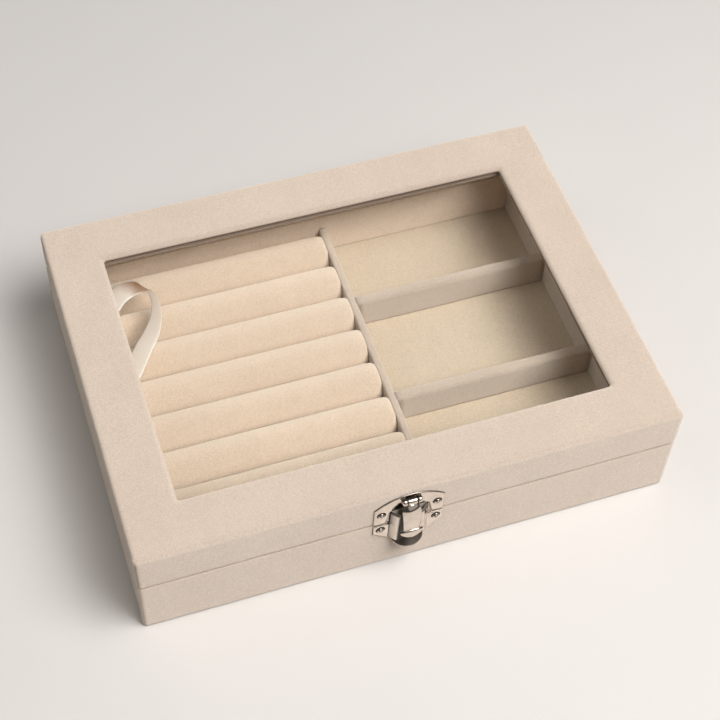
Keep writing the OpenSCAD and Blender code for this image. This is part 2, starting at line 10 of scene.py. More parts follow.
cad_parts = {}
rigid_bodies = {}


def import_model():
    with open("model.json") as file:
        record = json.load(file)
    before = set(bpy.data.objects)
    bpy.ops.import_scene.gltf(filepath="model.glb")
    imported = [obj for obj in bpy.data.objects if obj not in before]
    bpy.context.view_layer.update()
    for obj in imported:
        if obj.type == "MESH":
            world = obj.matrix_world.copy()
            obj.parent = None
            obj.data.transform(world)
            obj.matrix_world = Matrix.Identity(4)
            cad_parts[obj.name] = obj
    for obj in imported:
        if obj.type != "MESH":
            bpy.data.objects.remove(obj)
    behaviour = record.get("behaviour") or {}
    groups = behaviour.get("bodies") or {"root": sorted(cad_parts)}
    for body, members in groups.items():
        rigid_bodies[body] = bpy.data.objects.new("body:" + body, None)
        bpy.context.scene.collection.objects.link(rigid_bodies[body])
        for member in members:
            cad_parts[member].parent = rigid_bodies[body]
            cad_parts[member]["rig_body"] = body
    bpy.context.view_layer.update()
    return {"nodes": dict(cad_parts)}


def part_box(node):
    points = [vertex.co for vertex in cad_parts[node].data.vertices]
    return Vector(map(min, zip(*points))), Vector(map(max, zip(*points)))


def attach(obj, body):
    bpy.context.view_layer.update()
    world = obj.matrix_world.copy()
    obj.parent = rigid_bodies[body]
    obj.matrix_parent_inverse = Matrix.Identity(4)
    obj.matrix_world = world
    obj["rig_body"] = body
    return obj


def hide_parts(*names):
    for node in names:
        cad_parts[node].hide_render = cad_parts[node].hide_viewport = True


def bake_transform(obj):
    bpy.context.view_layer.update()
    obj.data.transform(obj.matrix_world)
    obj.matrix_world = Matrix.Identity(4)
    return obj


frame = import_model()
nodes = frame["nodes"]

MM = 0.001  # the code below works in millimetres, and meshes are made in metres

# ---------------------------------------------------------------- camera

# Solved from the box's corners in the picture. Places are in millimetres, angles in radians.
IMAGE_SIDE = 720
FOCAL_PX = 1589.23
SENSOR_MM = 36.0
CAMERA_AT = (-123.07, -333.74, 508.86)
CAMERA_AZIMUTH = -0.3646
CAMERA_ELEVATION = 0.9403
CAMERA_ROLL = 0.0525


def make_camera():
    """The camera at the viewing angle of the product picture."""
    az, el = CAMERA_AZIMUTH, CAMERA_ELEVATION
    back = Vector((math.sin(az) * math.cos(el), -math.cos(az) * math.cos(el), math.sin(el)))
    right = (-back).cross(Vector((0, 0, 1))).normalized()
    up = right.cross(-back)
    turned_right = math.cos(CAMERA_ROLL) * right + math.sin(CAMERA_ROLL) * up
    turned_up = -math.sin(CAMERA_ROLL) * right + math.cos(CAMERA_ROLL) * up
    data = bpy.data.cameras.new("camera")
    data.sensor_width = SENSOR_MM
    data.lens = FOCAL_PX * SENSOR_MM / IMAGE_SIDE
    data.clip_start, data.clip_end = 0.01, 20.0
    camera = bpy.data.objects.new("camera", data)
    bpy.context.scene.collection.objects.link(camera)
    axes = Matrix((turned_right, turned_up, back)).transposed()
    camera.matrix_world = Matrix.Translation(Vector(CAMERA_AT) * MM) @ axes.to_4x4()
    bpy.context.scene.camera = camera


make_camera()

# ---------------------------------------------------------------- sizes taken from the frame


def box_mm(node):
    """Lowest and highest corner of a CAD node, in millimetres."""
    low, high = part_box(node)
    return np.array(low) / MM, np.array(high) / MM


base_low, base_high = box_mm("base_cover")
lid_low, lid_high = box_mm("lid_cover")
glass_low, glass_high = box_mm("glass_pane")
HALF_X, HALF_Y = lid_high[0], lid_high[1]
WALL = 6.0
VELVET = 0.6
BORDER = 20.0  # from the box's side to the window
EDGE_R = 1.6  # the box's outer edges
RIM_R = 0.8  # the rims where lid and base meet
WINDOW_R = 1.1  # the window's corners, seen from above
ROLL_OVER = 1.8  # the velvet's turn down into the window, as round as the board under it allows
HEM_R = 0.45  # its turn back over the glass
TURN_IN = 7.0  # how far the velvet runs in over a rim
WINDOW_HEM = 11.0  # and over the glass
BASE_HEM = 12.0  # and under the base
GLASS_OVERLAP = 8.0

# ---------------------------------------------------------------- materials


class Tree:
    """A short way to write a node tree."""

    def __init__(self, name):
        self.material = bpy.data.materials.new(name)
        self.material.use_nodes = True
        self.nodes = self.material.node_tree.nodes
        self.links = self.material.node_tree.links
        self.shader = self.nodes["Principled BSDF"]
        self.place = self.nodes.new("ShaderNodeTexCoord").outputs["Object"]

    def new(self, kind, sockets=None, **settings):
        """A node with its settings, and its sockets either set or linked."""
        node = self.nodes.new("ShaderNode" + kind)
        for key, value in settings.items():
            setattr(node, key, value)
        for key, value in (sockets or {}).items():
            self.put(node, key, value)
        return node

    def put(self, node, key, value):
        """A socket linked to another node's output, or set to a value."""
        if isinstance(value, bpy.types.NodeSocket):
            self.links.new(value, node.inputs[key])
        else:
            node.inputs[key].default_value = value

    def set(self, **values):
        """Sockets of the main shader, by name with _ for a space."""
        for key, value in values.items():
            self.put(self.shader, key.replace("_", " "), value)

    def grain(self, size_mm, detail=2.0, rough=0.5, stretch=(1, 1, 1)):
        """Noise whose features are about size_mm across, as a value from 0 to 1."""
        place = self.place
        if stretch != (1, 1, 1):
            place = self.new("Mapping", {"Vector": self.place, "Scale": stretch}).outputs[0]
        sockets = {"Vector": place, "Scale": 1 / (size_mm * MM), "Detail": detail, "Roughness": rough}
        return self.new("TexNoise", sockets).outputs["Fac"]

    def math(self, operation, a, b=0.0, c=0.0):
        """The result of a sum on values or outputs."""
        return self.new("Math", {0: a, 1: b, 2: c}, operation=operation).outputs[0]

    def spread(self, value, low, high, from_low=0.25, from_high=0.75):
        """The value's range from_low to from_high taken to low to high."""
        sockets = {"Value": value, "From Min": from_low, "From Max": from_high, "To Min": low, "To Max": high}
        return self.new("MapRange", sockets).outputs[0]

    def tint(self, factor, dark, light):
        """A colour between dark and light."""
        dark, light = ((*c, 1) if isinstance(c, tuple) else c for c in (dark, light))
        return self.new("Mix", {0: factor, 6: dark, 7: light}, data_type="RGBA").outputs[2]

    def shade(self, colour, value):
        """The colour made lighter or darker by value."""
        return self.new("VectorMath", {0: colour, "Scale": value}, operation="SCALE").outputs[0]

    def bump(self, height, distance_mm, strength, under=None):
        """A normal for a relief of this height, over another normal if one is given."""
        sockets = {"Height": height, "Distance": distance_mm * MM, "Strength": strength}
        if under is not None:
            sockets["Normal"] = under
        return self.new("Bump", sockets).outputs[0]


def srgb(red, green, blue):
    """A colour given as 0 to 255 screen values, as linear light."""
    return tuple(((c / 255 + 0.055) / 1.055) ** 2.4 if c > 10 else c / 3294.6 for c in (red, green, blue))


# Painted shade in the velvet: how dark and how brown it is painted where its mark is full.
SHADE_PAINT_DARK = 0.3
SHADE_PAINT_BROWN = srgb(158, 118, 88)
# The ribbon's painted shade colour.
SATIN_SHADE_BROWN = srgb(158, 116, 82)


def velvet(name, colour, cool, nap=0.35, depth=1.0):
    """Short-pile velvet: speckled and brushed, with a soft sheen, and painted shade, darker and browner,
    where a point's painted-shade mark says.
    """
    t = Tree(name)
    pile = t.grain(0.36, 3.0, 0.65)
    clumps = t.grain(1.2, 2.0, 0.55)
    fold = t.new("Attribute", attribute_name="fold").outputs["Fac"]
    brushed = t.grain(9.0, 3.0, 0.6, (1.0, 0.45, 1.0))
    clouds = t.grain(38.0, 2.0)
    colours = t.tint(t.spread(clouds, 0.0, 1.0), cool, colour)
    colours = t.tint(fold, colours, SHADE_PAINT_BROWN)
    shade = t.math("MULTIPLY", t.spread(pile, 0.8, 1.2), t.spread(clumps, 0.975, 1.025))
    shade = t.math("MULTIPLY", shade, t.spread(brushed, 0.98, 1.02))
    shade = t.math("MULTIPLY", shade, t.spread(fold, 1.0, SHADE_PAINT_DARK, 0.0, 1.0))
    height = t.math("MULTIPLY_ADD", pile, 0.6, t.math("MULTIPLY", clumps, 0.8))
    t.set(Base_Color=t.shade(colours, shade), Roughness=0.92, Diffuse_Roughness=1.0, IOR=1.4)
    t.set(Specular_IOR_Level=0.2, Sheen_Weight=nap, Sheen_Roughness=0.45, Sheen_Tint=(1.0, 0.94, 0.88, 1))
    t.set(Normal=t.bump(height, 0.2 * depth, 0.8))
    return t.material


def board():
    """Grey-brown chipboard card, with its pressed fibres."""
    t = Tree("board")
    flecks = t.grain(0.5, 4.0, 0.7)
    layers = t.grain(2.0, 3.0, 0.6, (0.25, 0.25, 2.5))
    colour = t.tint(t.spread(flecks, 0, 1), srgb(142, 126, 106), srgb(176, 160, 138))
    t.set(Base_Color=t.shade(colour, t.spread(layers, 0.92, 1.06)), Roughness=0.9, Diffuse_Roughness=0.6)
    t.set(Normal=t.bump(flecks, 0.08, 0.6))
    return t.material


def paper():
    """Matt cream lining paper with a faint laid grain."""
    t = Tree("paper")
    fibres = t.grain(0.7, 4.0, 0.65, (1.0, 0.3, 1.0))
    clouds = t.grain(14.0, 3.0)
    colour = t.tint(t.spread(clouds, 0, 1), srgb(206, 192, 172), srgb(216, 203, 184))
    t.set(Base_Color=t.shade(colour, t.spread(fibres, 0.95, 1.04)), Roughness=0.78, Diffuse_Roughness=0.4)
    t.set(Normal=t.bump(fibres, 0.04, 0.6))
    return t.material


def glass():
    """Clear window glass that lets the lamps' light through to the trays."""
    t = Tree("glass")
    smudges = t.grain(30.0, 4.0, 0.65)
    t.set(Base_Color=(1.0, 1.0, 0.995, 1), IOR=1.46, Transmission_Weight=1.0)
    t.set(Roughness=t.spread(smudges, 0.0, 0.012, 0.45, 0.8))
    clear = t.new("BsdfTransparent", {"Color": (0.98, 0.985, 0.975, 1)})
    path = t.new("LightPath")
    soft = t.math("MAXIMUM", path.outputs["Is Shadow Ray"], path.outputs["Is Diffuse Ray"])
    mix = t.new("MixShader", {0: soft, 1: t.shader.outputs[0], 2: clear.outputs[0]})
    t.links.new(mix.outputs[0], t.nodes["Material Output"].inputs["Surface"])
    return t.material


def satin():
    """Cream satin ribbon: floats of thread along it, two firm selvedges, and painted light and shade along
    it, brown where it turns away and a bright painted highlight past it.
    """
    t = Tree("satin")
    across = t.new("Attribute", attribute_name="across").outputs["Fac"]
    along = t.new("Attribute", attribute_name="along").outputs["Fac"]
    lustre = t.new("Attribute", attribute_name="lustre").outputs["Fac"]
    edge = t.spread(t.math("ABSOLUTE", across), 0.0, 1.0, 0.82, 0.93)
    lanes = t.new("CombineXYZ", {0: t.math("MULTIPLY", across, 26.0), 1: t.math("MULTIPLY", along, 1.1)})
    threads = t.new("TexNoise", {"Vector": lanes.outputs[0], "Scale": 1.0, "Detail": 3.0}).outputs["Fac"]
    picks = t.math("SINE", t.math("MULTIPLY", along, 22.0))
    colour = t.tint(edge, srgb(250, 238, 226), srgb(255, 253, 246))
    painted_tone = t.tint(t.spread(lustre, 0.0, 1.0, 0.0, 1.0), SATIN_SHADE_BROWN, colour)
    colour = t.tint(t.math("MULTIPLY", edge, 0.6), painted_tone, colour)
    t.set(Base_Color=t.shade(colour, t.spread(threads, 0.96, 1.03)), IOR=1.5, Specular_IOR_Level=0.75)
    t.set(Roughness=t.spread(threads, 0.28, 0.4), Sheen_Weight=0.25, Sheen_Roughness=0.35)
    t.set(Anisotropic=0.35)
    height = t.math("ADD", threads, t.math("MULTIPLY", t.math("MULTIPLY", picks, edge), 0.3))
    t.set(Normal=t.bump(height, 0.03, 0.5))
    return t.material


def nickel(name, colour, shine, worn):
    """Bright plated sheet: faint rolling marks, tiny dents and a dull bloom, with painted shade and painted
    dark reflections that darken and dull it where each point's mark says.
    """
    t = Tree(name)
    bloom = t.grain(3.5, 4.0, 0.6)
    marks = t.grain(0.35, 3.0, 0.6, (0.12, 1.0, 1.0))
    dents = t.grain(1.4, 2.0)
    # Painted shade and dark reflection: the mark darkens the plating and makes it rougher.
    grime = t.new("Attribute", attribute_name="grime").outputs["Fac"]
    plated = t.tint(t.spread(bloom, 0, 1), worn, colour)
    t.set(Base_Color=t.shade(plated, t.spread(grime, 1.0, 0.08, 0.0, 1.0)), Metallic=1.0, IOR=1.5)
    polish = t.spread(t.math("MULTIPLY_ADD", marks, 0.35, t.math("MULTIPLY", bloom, 0.65)), *shine)
    t.set(Roughness=t.math("MULTIPLY_ADD", grime, 0.35, polish))
    t.set(Normal=t.bump(dents, 0.03, 0.5, t.bump(marks, 0.006, 0.5)))
    return t.material


# One velvet throughout: the floor pad, the back linings and the rolls take lighter copies of it, as painted
# light.
COVER = velvet("cover_velvet", srgb(222, 209, 196), srgb(218, 204, 191))
LINING = velvet("lining_velvet", srgb(223, 210, 197), srgb(218, 204, 191), 0.5, 0.9)
FLOOR_PAINTED_LIGHT = velvet("floor_velvet", srgb(231, 218, 199), srgb(226, 212, 193), 0.5, 0.9)
BACK_PAINTED_LIGHT = velvet("back_velvet", srgb(248, 232, 214), srgb(244, 227, 209), nap=0.5)
ROLL_PAINTED_LIGHT = velvet("roll_velvet_painted_light", srgb(241, 226, 209), srgb(237, 221, 203), 0.2, 0.8)
BOARD = board()
PAPER = paper()
GLASS = glass()
SATIN = satin()
NICKEL = nickel("nickel", srgb(232, 219, 207), (0.07, 0.2), srgb(210, 196, 182))
STEEL = nickel("hinge_nickel", srgb(206, 200, 192), (0.18, 0.36), srgb(180, 172, 162))

# ---------------------------------------------------------------- mesh helpers


def finish_piece(name, mesh, material, body):
    """A smooth piece in the scene, riding on its body."""
    made = bpy.data.objects.new(name, mesh)
    bpy.context.scene.collection.objects.link(made)
    made.data.materials.append(material)
    for face in mesh.polygons:
        face.use_smooth = True
    if body:
        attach(made, body)
    return made


def mesh_object(name, points, faces, material, body, slot):
    """A piece from points in millimetres, its faces turned to point out."""
    mesh = bpy.data.meshes.new(name)
    mesh.from_pydata([tuple(p) for p in np.array(points, float) * MM], [], faces)
    mesh.validate()
    bm = bmesh.new()
    bm.from_mesh(mesh)
    bmesh.ops.recalc_face_normals(bm, faces=bm.faces)
    bm.to_mesh(mesh)
    bm.free()
    mesh.update()
    return finish_piece(name, mesh, material, body)


def mark_points(made, name, values):
    """One value for each point, for the piece's material to read."""
    made.data.attributes.new(name, "FLOAT", "POINT").data.foreach_set("value", values)


def sharpen(made, degrees):
    """Marks the edges that turn by more than this many degrees as sharp."""
    made.data.set_sharp_from_angle(angle=math.radians(degrees))


def apply_modifiers(made):
    """Makes the evaluated mesh the object's own."""
    graph = bpy.context.evaluated_depsgraph_get()
    mesh = bpy.data.meshes.new_from_object(made.evaluated_get(graph))
    made.modifiers.clear()
    made.data = mesh
    for face in mesh.polygons:
        face.use_smooth = True


def hold_inside(made, low, high):
    """Keeps a soft piece within a box."""
    for v in made.data.vertices:
        for axis in range(3):
            v.co[axis] = min(max(v.co[axis], low[axis] * MM), high[axis] * MM)


def loft(rings, closed=False):
    """A skin over rings of equal count: the last joined to the first, or a cap on both ends."""
    count = len(rings[0])
    faces = []
    for i in range(len(rings) if closed else len(rings) - 1):
        a, b = i * count, (i + 1) % len(rings) * count
        faces += [(a + j, a + (j + 1) % count, b + (j + 1) % count, b + j) for j in range(count)]
    points = [p for r in rings for p in r]
    if not closed:
        faces += [tuple(range(count)), tuple(range(len(points) - count, len(points)))]
    return points, faces


def arc(cx, cz, radius, start, end, count):
    """Profile points on an arc, angles in degrees from +inset towards +z."""
    turns = np.radians(np.linspace(start, end, count + 1))
    return [(cx + radius * math.cos(a), cz + radius * math.sin(a)) for a in turns]


def line(a, b, pitch):
    """Points between two profile points, without the ends."""
    count = max(1, round(math.dist(a, b) / pitch))
    return [(a[0] + (b[0] - a[0]) * i / count, a[1] + (b[1] - a[1]) * i / count) for i in range(1, count)]


def join_profile(parts, pitch):
    """One profile: arcs as given, with straight runs between them divided at the pitch."""
    path = []
    for part in parts:
        if path:
            path += line(path[-1], part[0], pitch)
        path += part
    return path


def wave(p, size, seed):
    """Smooth noise from -1 to 1 with features about size millimetres across."""
    x, y, z = p
    return noise.noise(Vector((x / size + seed * 17.3, y / size - seed * 5.9, z / size + seed * 3.1)))


SWELL_SIZE, RIPPLE_SIZE, PILE_SIZE = 32, 11, 3.4
RIPPLE_SHARE = 0.6


def soften(made, seed, swell, edge, skip=None):
    """Moves each point along its normal, as glued cloth lies: long swells and a short unevenness."""
    mesh = made.data
    normals = [v.normal.copy() for v in mesh.vertices]
    for v, n in zip(mesh.vertices, normals):
        p = v.co / MM
        if skip is not None and skip(p):
            continue
        move = swell * wave(p, SWELL_SIZE, seed) + RIPPLE_SHARE * swell * wave(p, RIPPLE_SIZE, seed + 1)
        move += edge * wave(p, PILE_SIZE, seed + 2)
        v.co += n * move * MM
    mesh.update()


# ---------------------------------------------------------------- velvet covers

# Places of the points along a side, from either corner. Further in they are RING_PITCH apart.
CORNER_STEPS = (0, 0.12, 0.24, 0.36, 0.5, 0.7, 1.0, 1.5, 2.2, 3.2, 4.6, 6.4)
CORNER_ARC = 7
RING_PITCH = 2.0
PROFILE_PITCH = 1.6
WINDOW_ZONE = 2.0  # rings this near the window have its corners
WINDOW_EDGE = 1.2  # the strip of velvet round the window that is pressed flat
COVER_SWELL, COVER_UNEVEN = 0.07, 0.035
# Painted shade along the velvet's turn into the window: full low down, fading out over the run below this
# height above the glass.
WINDOW_SHADE_TOP = 1.35  # above the glass
WINDOW_SHADE_RUN = 0.8
SEAM_TURN, SEAM_WIDTH = 0.82, 0.16  # radians round an upright corner
# Painted shade down the seams at the upright corners: how dark on the lid and on the base.
SEAM_SHADE_LID, SEAM_SHADE_BASE = 0.5, 0.22
SEAM_FOOT, SEAM_TOP = 2.0, 1.5  # where it ends: above the table, and below the lid's top
SKIN_DEPTH = 0.15  # how deep a point of the outer skin may lie under the corner's round
SIDE_DEPTH, SIDE_EDGE = 0.4, 0.6  # the part of the skin that is a side face
SEAM_FROM_CORNER = 0.35
SEAM_HALF = 0.28
SEAM_DEPTH = 0.34
SEAM_WANDER = 0.12
FLAP_RISE = 0.12
FLAP_RUN = 0.12


def steps(length, ends, pitch):
    """Places along a length: close together near both ends, then about a pitch apart."""
    near = [e for e in ends if e < length / 2 - pitch / 2]
    middle = max(1, round((length - 2 * near[-1]) / pitch))
    inner = [near[-1] + (length - 2 * near[-1]) * i / middle for i in range(middle + 1)]
    return near[:-1] + inner + [length - e for e in reversed(near[:-1])]


def ring(inset, z, radius):
    """A rounded rectangle inset from the box's outline, at one height. All have as many points."""
    hx, hy = HALF_X - inset - radius, HALF_Y - inset - radius
    full_x, full_y = 2 * (HALF_X - EDGE_R), 2 * (HALF_Y - EDGE_R)
    side_x = np.array(steps(full_x, CORNER_STEPS, RING_PITCH)) / full_x
    side_y = np.array(steps(full_y, CORNER_STEPS, RING_PITCH)) / full_y
    corners = ((1, 1, side_x), (-1, 1, side_y), (-1, -1, side_x), (1, -1, side_y))
    turns = np.linspace(0, math.pi / 2, CORNER_ARC + 1)[1:-1]
    points = []
    for quarter, (cx, cy, side) in enumerate(corners):
        start = quarter * math.pi / 2
        for a in turns:
            x = cx * hx + radius * math.cos(start + a)
            points.append((x, cy * hy + radius * math.sin(start + a), z))
        out = Vector((math.cos(start + math.pi / 2), math.sin(start + math.pi / 2)))
        run = Vector((math.cos(start + math.pi), math.sin(start + math.pi)))
        span = 2 * (hx if quarter % 2 == 0 else hy)
        corner = Vector((cx * hx, cy * hy)) + out * radius
        points += [(*(corner + run * span * s), z) for s in side]
    return points


def corner_radius(inset):
    """The radius of a ring's corners: the box's own edge outside, tight folds inside."""
    return max(EDGE_R - inset, 0.3)


def paint_shade_marks(made, depth):
    """Paints shade into the velvet at each point, from 0 to 1, as a darker and browner colour."""
    mark_points(made, "fold", [depth(v.co / MM) for v in made.data.vertices])


def cover(name, profile, body, node, seed):
    """A velvet skin swept round the box, with a folded seam down each corner, painted shade along each seam
    and painted shade round the window's edge.
    """
    rings = [ring(d, z, WINDOW_R if d > BORDER - WINDOW_ZONE else corner_radius(d)) for d, z in profile]
    made = mesh_object(name, *loft(rings, closed=True), COVER, body, "cover_velvet")
    window = np.array((HALF_X, HALF_Y)) - BORDER + WINDOW_EDGE
    # Painted shade: a dark line where the velvet meets the glass, and down each corner seam.
    paint_shade_marks(made, lambda p: max(window_shade_depth(p, window), seam_shade_paint(p)))

    def pressed_flat(p):
        """Round the window the velvet lies as drawn."""
        return p.z > glass_low[2] and np.all(np.abs(p.xy) < window)

    soften(made, seed, COVER_SWELL, COVER_UNEVEN, pressed_flat)
    crease_corners(made)
    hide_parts(node)


def seam_shade_paint(p):
    """How much painted shade a point of the butted seam down each upright corner gets, from 0 to 1: plainer
    on the lid.
    """
    over_x, over_y = abs(p.x) - HALF_X + EDGE_R, abs(p.y) - HALF_Y + EDGE_R
    on_skin = min(over_x, over_y) > 0 and math.hypot(over_x, over_y) >= EDGE_R - SKIN_DEPTH
    if not on_skin or not SEAM_FOOT < p.z < lid_high[2] - SEAM_TOP:
        return 0.0
    strength = SEAM_SHADE_LID if p.z > lid_low[2] else SEAM_SHADE_BASE
    return strength * math.exp(-(((math.atan2(over_y, over_x) - SEAM_TURN) / SEAM_WIDTH) ** 2))


def window_shade_depth(p, window):
    """How much painted shade a point gets where the window's velvet meets the glass, from 0 to 1."""
    if p.z < glass_low[2] or abs(p.x) > window[0] or abs(p.y) > window[1]:
        return 0.0
    return min(1.0, max(0.0, (glass_high[2] + WINDOW_SHADE_TOP - p.z) / WINDOW_SHADE_RUN))


def crease_corners(made):
    """The seam where the front and back flaps end, just round each corner on the side faces."""
    for v in made.data.vertices:
        p = v.co / MM
        along = HALF_Y - EDGE_R - abs(p.y)
        on_side = abs(p.x) >= HALF_X - SIDE_DEPTH and SIDE_EDGE <= p.z <= lid_high[2] - SIDE_EDGE
        if not on_side:
            continue
        from_seam = along - SEAM_FROM_CORNER + SEAM_WANDER * wave(p, 4, 9)
        dip = SEAM_DEPTH * math.exp(-((from_seam / SEAM_HALF) ** 2))
        rise = FLAP_RISE / (1 + math.exp(min(30, from_seam / FLAP_RUN)))
        v.co.x += math.copysign((rise - dip) * MM, p.x)
    made.data.update()


def lid_profile():
    """Cut through the lid's velvet: from the hem inside, round the rim, over the top, down the window."""
    low, top = lid_low[2], lid_high[2]
    inner = WALL + VELVET
    under = glass_high[2] + 0.02
    outer = [
        [(inner, low + TURN_IN)],
        arc(inner - RIM_R, low + RIM_R, RIM_R, 0, -90, 4),
        arc(RIM_R, low + RIM_R, RIM_R, 270, 180, 4),
        arc(EDGE_R, top - EDGE_R, EDGE_R, 180, 90, 7),
        arc(BORDER - ROLL_OVER, top - ROLL_OVER, ROLL_OVER, 90, 0, 7),
        arc(BORDER - HEM_R, under + HEM_R, HEM_R, 0, -90, 3),
        [(BORDER - WINDOW_HEM, under)],
    ]
    skin = [
        (BORDER - WINDOW_HEM, under + VELVET - 0.04),
        (BORDER - VELVET, under + VELVET - 0.04),
        (BORDER - VELVET, top - VELVET),
        (VELVET, top - VELVET),
        (VELVET, low + VELVET),
        (WALL, low + VELVET),
        (WALL, low + TURN_IN),
    ]
    return join_profile(outer, PROFILE_PITCH) + skin


def base_profile():
    """Cut through the base's velvet, from the hem under the box, up the outside and in over the rim."""
    low, top = base_low[2], base_high[2]
    inner = WALL + VELVET
    foot = 1.0
    outer = [
        [(BASE_HEM, low)],
        arc(foot, low + foot, foot, 270, 180, 4),
        arc(RIM_R, top - RIM_R, RIM_R, 180, 90, 4),
        arc(inner - RIM_R, top - RIM_R, RIM_R, 90, 0, 4),
        [(inner, top - TURN_IN)],
    ]
    skin = [
        (WALL, top - TURN_IN),
        (WALL, top - VELVET),
        (VELVET, top - VELVET),
        (VELVET, low + VELVET),
        (BASE_HEM, low + VELVET),
    ]
    return join_profile(outer, PROFILE_PITCH) + skin


cover("lid_velvet", lid_profile(), "lid", "lid_cover", 1)
cover("base_velvet", base_profile(), "base", "base_cover", 2)

# ---------------------------------------------------------------- linings and dividers

BLOCK_PITCH = 2.0
BLOCK_ARC = 4


def block(name, low, high, radius, material, body):
    """A closed block with its long edges rounded, fine enough to be softened."""
    size = high - low
    radius = min(radius, 0.49 * size.min())
    bm = bmesh.new()
    bmesh.ops.create_cube(bm, size=1.0)
    bmesh.ops.scale(bm, vec=Vector(size * MM), verts=bm.verts)
    bmesh.ops.translate(bm, vec=Vector((low + high) / 2 * MM), verts=bm.verts)
    run = int(size.argmax())
    edges = [e for e in bm.edges if abs((e.verts[0].co - e.verts[1].co)[run]) > 1e-6]
    bmesh.ops.bevel(bm, geom=edges, offset=radius * MM, segments=BLOCK_ARC, profile=0.5, affect="EDGES")
    for axis in range(3):
        inner = size[axis] - 2 * radius
        count = max(1, round(inner / BLOCK_PITCH))
        for i in range(1, count):
            place, normal = Vector((0, 0, 0)), Vector((0, 0, 0))
            place[axis] = (low[axis] + radius + inner * i / count) * MM
            normal[axis] = 1
            whole = bm.verts[:] + bm.edges[:] + bm.faces[:]
            bmesh.ops.bisect_plane(bm, geom=whole, plane_co=place, plane_no=normal)
    mesh = bpy.data.meshes.new(name)
    bm.to_mesh(mesh)
    bm.free()
    return finish_piece(name, mesh, material, body)


def lined(node, body, radius, seed, material=LINING, uneven=0.05):
    """A velvet-wrapped strip in the place of a CAD one, its edges softened by the pile."""
    low, high = box_mm(node)
    made = block(node + "_velvet", low, high, radius, material, body)
    soften(made, seed, uneven, 0.6 * uneven)
    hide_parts(node)


for n, side in enumerate(("front", "back", "left", "right")):
    # The back linings take the lighter copy of the velvet: painted light.
    lining = BACK_PAINTED_LIGHT if side == "back" else LINING
    lined("base_lining_" + side, "base", 0.7, 10 + n, lining)
    lined("lid_lining_" + side, "lid", 0.7, 20 + n, lining)
for n, node in enumerate(("long_divider", "rear_cross_divider", "front_cross_divider")):
    lined(node, "base", 1.1, 30 + n, uneven=0.12)
# The floor pad takes a lighter copy of the velvet: painted light.
lined("floor_pad", "base", 0.5, 40, FLOOR_PAINTED_LIGHT)

RETAINER_R = 0.6
RETAINER_SHORT = 1.0  # how much its own velvet keeps back from the glass's overlap
RETAINER_SHADE = 0.4  # painted shade on its faces round the window


def glass_retainer():
    """The velvet-wrapped card frame that holds the pane from below."""
    low, high = box_mm("glass_frame")
    outer, inner = HALF_X - high[0], HALF_X - glass_high[0] + GLASS_OVERLAP - RETAINER_SHORT
    top, foot, r = high[2], low[2], RETAINER_R
    profile = join_profile(
        [
            arc(outer + r, foot + r, r, 180, 270, 3),
            arc(inner - r, foot + r, r, 270, 360, 3),
            arc(inner - r, top - r, r, 0, 90, 3),
            arc(outer + r, top - r, r, 90, 170, 3),
        ],
        RING_PITCH,
    )
    rings = [ring(d, z, max(0.3, min(2.0, d - outer))) for d, z in profile]
    made = mesh_object("glass_frame_velvet", *loft(rings, closed=True), LINING, "lid", "lining_velvet")
    soften(made, 45, 0.04, 0.03)
    hold_inside(made, low, high)
    edge_x, edge_y = HALF_X - inner, HALF_Y - inner

    def shade(p):
        """Painted shade on its faces round the window, at the back and on the right."""
        on_right = edge_x < p.x < edge_x + 1
        at_back = p.y > edge_y - 1 and p.x < edge_x
        return RETAINER_SHADE if on_right or at_back else 0.0

    paint_shade_marks(made, shade)
    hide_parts("glass_frame")


# ---------------------------------------------------------------- ring rolls

ROLLS = 8
ROLL_END_R = 2.0
ROLL_AROUND = 28
ROLL_ALONG = 36
ROLL_VOXEL = 2.2
ROLL_SHRINK = 0.35  # what the foam then swells by
ROLL_CAP = 0.55
ROLL_PRESS = 0.3  # its ends are pressed against the linings
ROLL_SPARE = 0.9  # cloth at each end that the press flattens
ROLL_PINNED = 1.0  # the height over which a sleeve is glued down
ROLL_SHADE_PAINT = {7: 0.05, 8: 0.2}  # rolls painted darker, as the shadow of the lid's front rim on them, and by how much
FOAM_PRESSURE = 4.0
CLOTH_FRAMES = 20
CLOTH = {
    "quality": 5,
    "mass": 0.25,
    "tension_stiffness": 12,
    "compression_stiffness": 12,
    "bending_stiffness": 0.4,
    "use_pressure": True,
    "uniform_pressure_force": FOAM_PRESSURE,
}


def roll_blank(low, high):
    """A foam bar's starting shape: round, with rounded ends and a flat where it sits on the floor."""
    radius = (high[2] - low[2]) / 2 - ROLL_SHRINK
    centre_y, centre_z = (low[1] + high[1]) / 2, (low[2] + high[2]) / 2
    length = high[0] - low[0] - 0.1
    start = low[0] + 0.05
    end = [(0.0, radius - ROLL_END_R)]
    for a in np.linspace(0.2, math.pi / 2, 6):
        end.append((ROLL_END_R - ROLL_END_R * math.cos(a), radius - ROLL_END_R + ROLL_END_R * math.sin(a)))
    straight = length - 2 * ROLL_END_R
    middle = [(ROLL_END_R + straight * i / ROLL_ALONG, radius) for i in range(1, ROLL_ALONG)]
    stations = end + middle + [(length - x, r) for x, r in reversed(end)]
    rings = []
    for x, r in stations:
        turns = [2 * math.pi * k / ROLL_AROUND for k in range(ROLL_AROUND)]
        heights = [max(low[2] + 0.1, centre_z + r * math.sin(a)) for a in turns]
        rings.append([(start + x, centre_y + r * math.cos(a), z) for a, z in zip(turns, heights)])
    return loft(rings)


